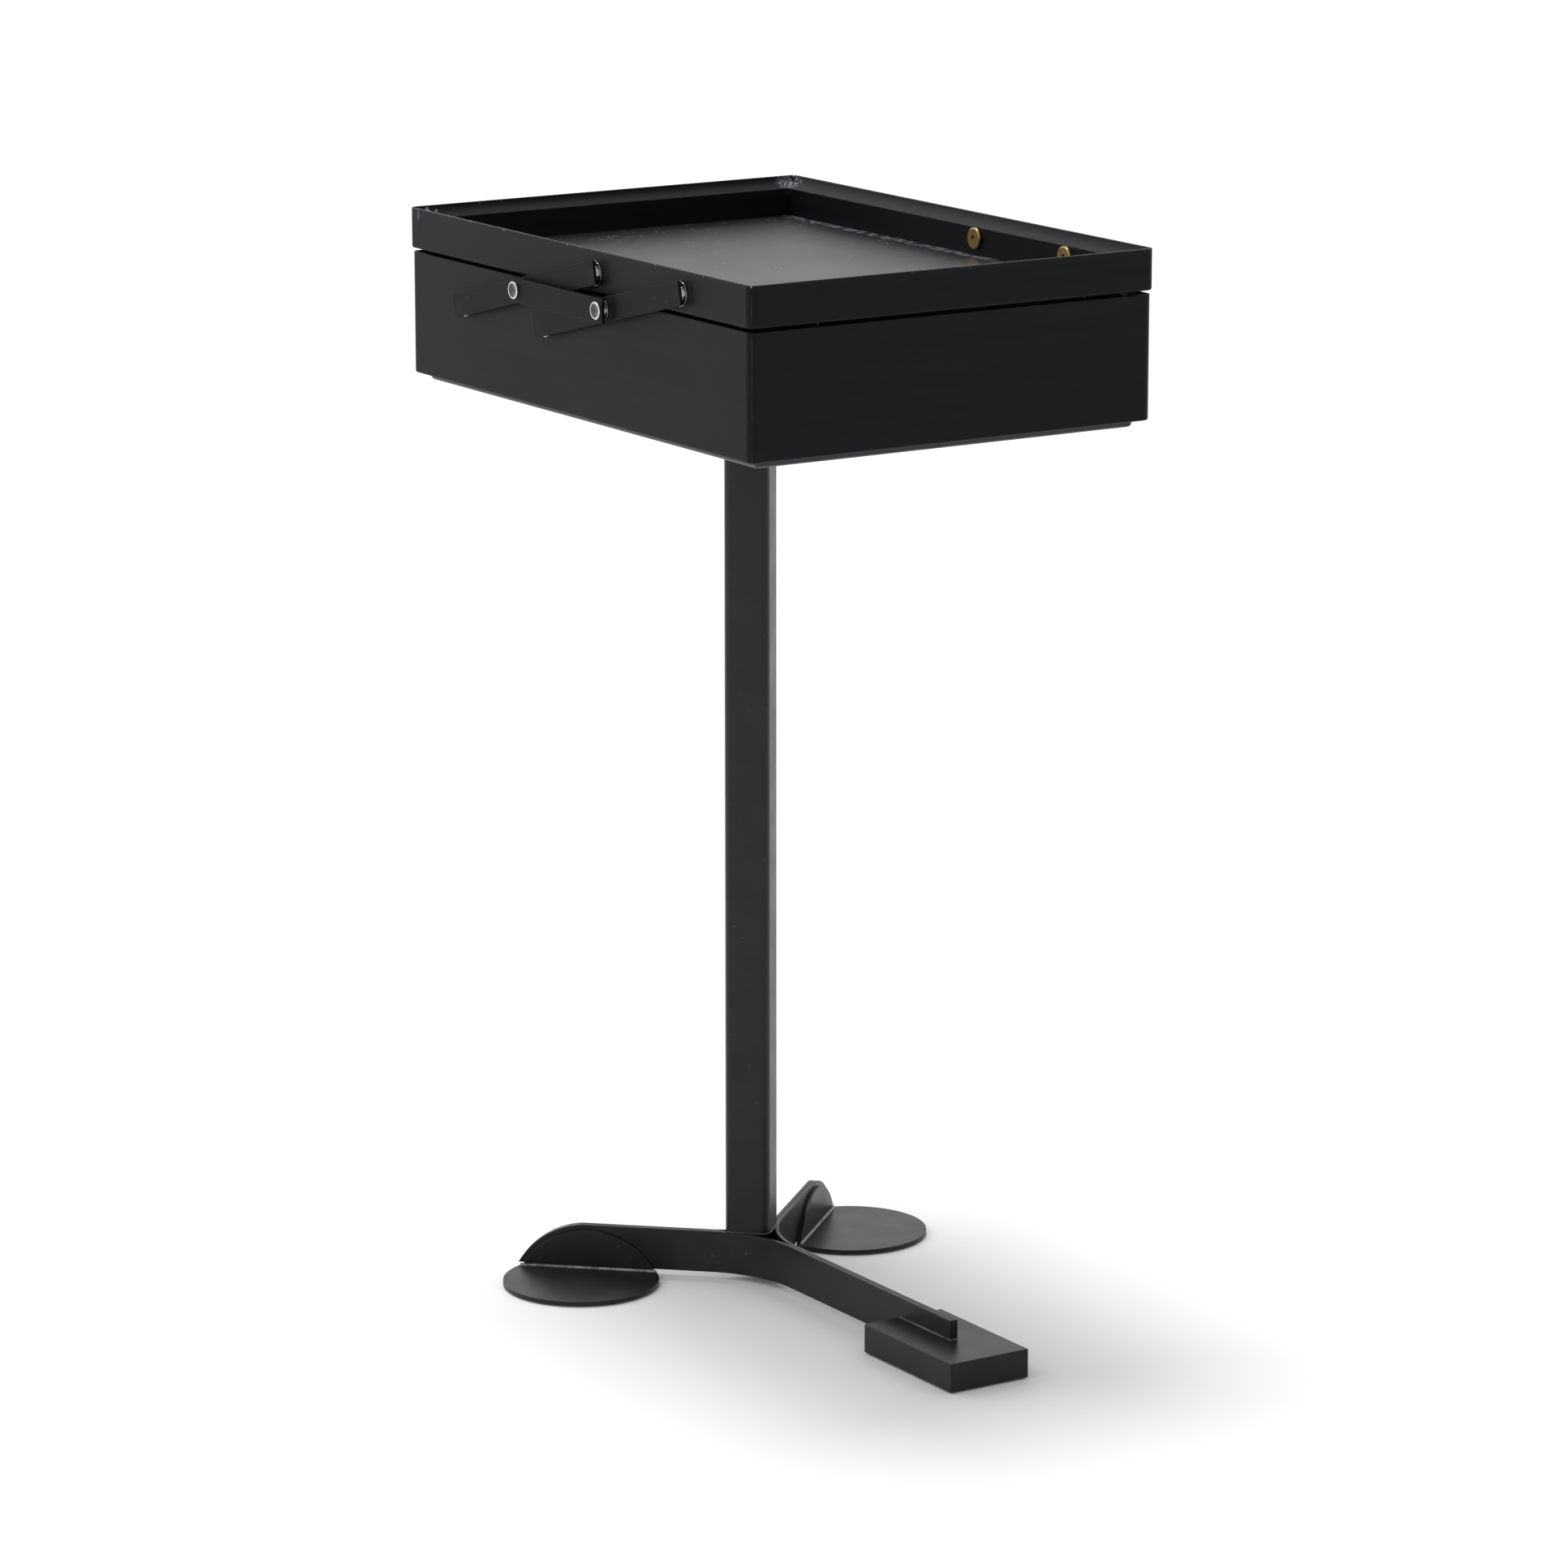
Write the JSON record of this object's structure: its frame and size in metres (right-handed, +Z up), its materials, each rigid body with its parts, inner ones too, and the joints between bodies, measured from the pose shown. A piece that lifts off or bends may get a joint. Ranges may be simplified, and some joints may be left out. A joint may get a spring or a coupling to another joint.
{
  "type": "drafting table",
  "caption": "Small black drafting table: a wooden box on one square steel column, with a tray lid that swings up and back on parallel steel links, and a flat-bar foot.",
  "frame": {"origin": "on the floor, at the centre of the object's bounding box", "axes": "+Z up, -Y to the front, where the leg with the block points, +X to the right"},
  "size_m": [0.3452, 0.4908, 0.75],
  "materials": {
    "black_wood": "satin black stain",
    "black_wood_panel": "semi-gloss black stain",
    "black_steel": "satin blackened steel",
    "nickel": "polished nickel plate",
    "brass": "satin brass plate",
    "zinc_steel": "zinc plate",
    "felt": "felt",
    "foot_pad": "matt"
  },
  "bodies": {
    "stand": {"box_bottom_panel": "black_wood_panel", "box_wall_front": "black_wood", "box_wall_left": "black_wood", "box_wall_rear": "black_wood", "box_wall_right": "black_wood", "column_tube": "black_steel", "foot_block": "black_steel", "foot_disc_left": "black_steel", "foot_disc_right": "black_steel", "foot_pad_block": "foot_pad", "foot_pad_left": "foot_pad", "foot_pad_right": "foot_pad", "leg_bar_left": "black_steel", "leg_bar_rear": "black_steel", "leg_bar_right": "black_steel", "mount_inserts": "brass", "mount_screws": "zinc_steel", "rest_buttons": "felt", "top_plate": "black_steel"},
    "link_rear_left": {"box_bolt_rear_left": "brass", "box_washer_rear_left": "nickel", "lid_bolt_rear_left": "brass", "lid_washer_rear_left": "nickel", "link_bar_rear_left": "black_steel"},
    "link_front_left": {"box_bolt_front_left": "brass", "box_washer_front_left": "nickel", "lid_bolt_front_left": "brass", "lid_washer_front_left": "nickel", "link_bar_front_left": "black_steel"},
    "link_rear_right": {"box_bolt_rear_right": "brass", "box_washer_rear_right": "nickel", "lid_bolt_rear_right": "brass", "lid_washer_rear_right": "nickel", "link_bar_rear_right": "black_steel"},
    "link_front_right": {"box_bolt_front_right": "brass", "box_washer_front_right": "nickel", "lid_bolt_front_right": "brass", "lid_washer_front_right": "nickel", "link_bar_front_right": "black_steel"},
    "lid": {"lid_panel": "black_wood_panel", "lid_wall_front": "black_wood", "lid_wall_left": "black_wood", "lid_wall_rear": "black_wood", "lid_wall_right": "black_wood"},
    "coupler_left": {"coupler_bar_left": "black_steel", "coupler_retainers_left": "zinc_steel", "coupler_screws_left": "nickel", "coupler_washers_left": "nickel"},
    "coupler_right": {"coupler_bar_right": "black_steel", "coupler_retainers_right": "zinc_steel", "coupler_screws_right": "nickel", "coupler_washers_right": "nickel"}
  },
  "joints": [
    {"name": "lid_swing", "type": "hinge", "parent": "stand", "child": "link_front_left", "pos_m": [-0.1638, 0.05989, 0.692], "axis": [-1, 0, 0], "range_deg": [0, 151]},
    {"name": "link_rear_left_pivot", "type": "hinge", "parent": "stand", "child": "link_rear_left", "pos_m": [-0.1638, 0.16739, 0.692], "axis": [-1, 0, 0], "range_deg": [0, 151]},
    {"name": "link_front_right_pivot", "type": "hinge", "parent": "stand", "child": "link_front_right", "pos_m": [0.1638, 0.05989, 0.692], "axis": [-1, 0, 0], "range_deg": [0, 151]},
    {"name": "link_rear_right_pivot", "type": "hinge", "parent": "stand", "child": "link_rear_right", "pos_m": [0.1638, 0.16739, 0.692], "axis": [-1, 0, 0], "range_deg": [0, 151]},
    {"name": "lid_pivot", "type": "hinge", "parent": "link_front_left", "child": "lid", "pos_m": [-0.1638, -0.1151, 0.735], "axis": [-1, 0, 0], "range_deg": [-151, 0]},
    {"name": "coupler_left_pivot", "type": "hinge", "parent": "link_front_left", "child": "coupler_left", "pos_m": [-0.1696, -0.02761, 0.7135], "axis": [-1, 0, 0], "range_deg": [-151, 0]},
    {"name": "coupler_right_pivot", "type": "hinge", "parent": "link_front_right", "child": "coupler_right", "pos_m": [0.1696, -0.02761, 0.7135], "axis": [-1, 0, 0], "range_deg": [-151, 0]}
  ],
  "couplings": [
    {"joint": "link_rear_left_pivot", "follows": "lid_swing", "ratio": 1},
    {"joint": "link_front_right_pivot", "follows": "lid_swing", "ratio": 1},
    {"joint": "link_rear_right_pivot", "follows": "lid_swing", "ratio": 1},
    {"joint": "lid_pivot", "follows": "lid_swing", "ratio": -1},
    {"joint": "coupler_left_pivot", "follows": "lid_swing", "ratio": -1},
    {"joint": "coupler_right_pivot", "follows": "lid_swing", "ratio": -1}
  ]
}
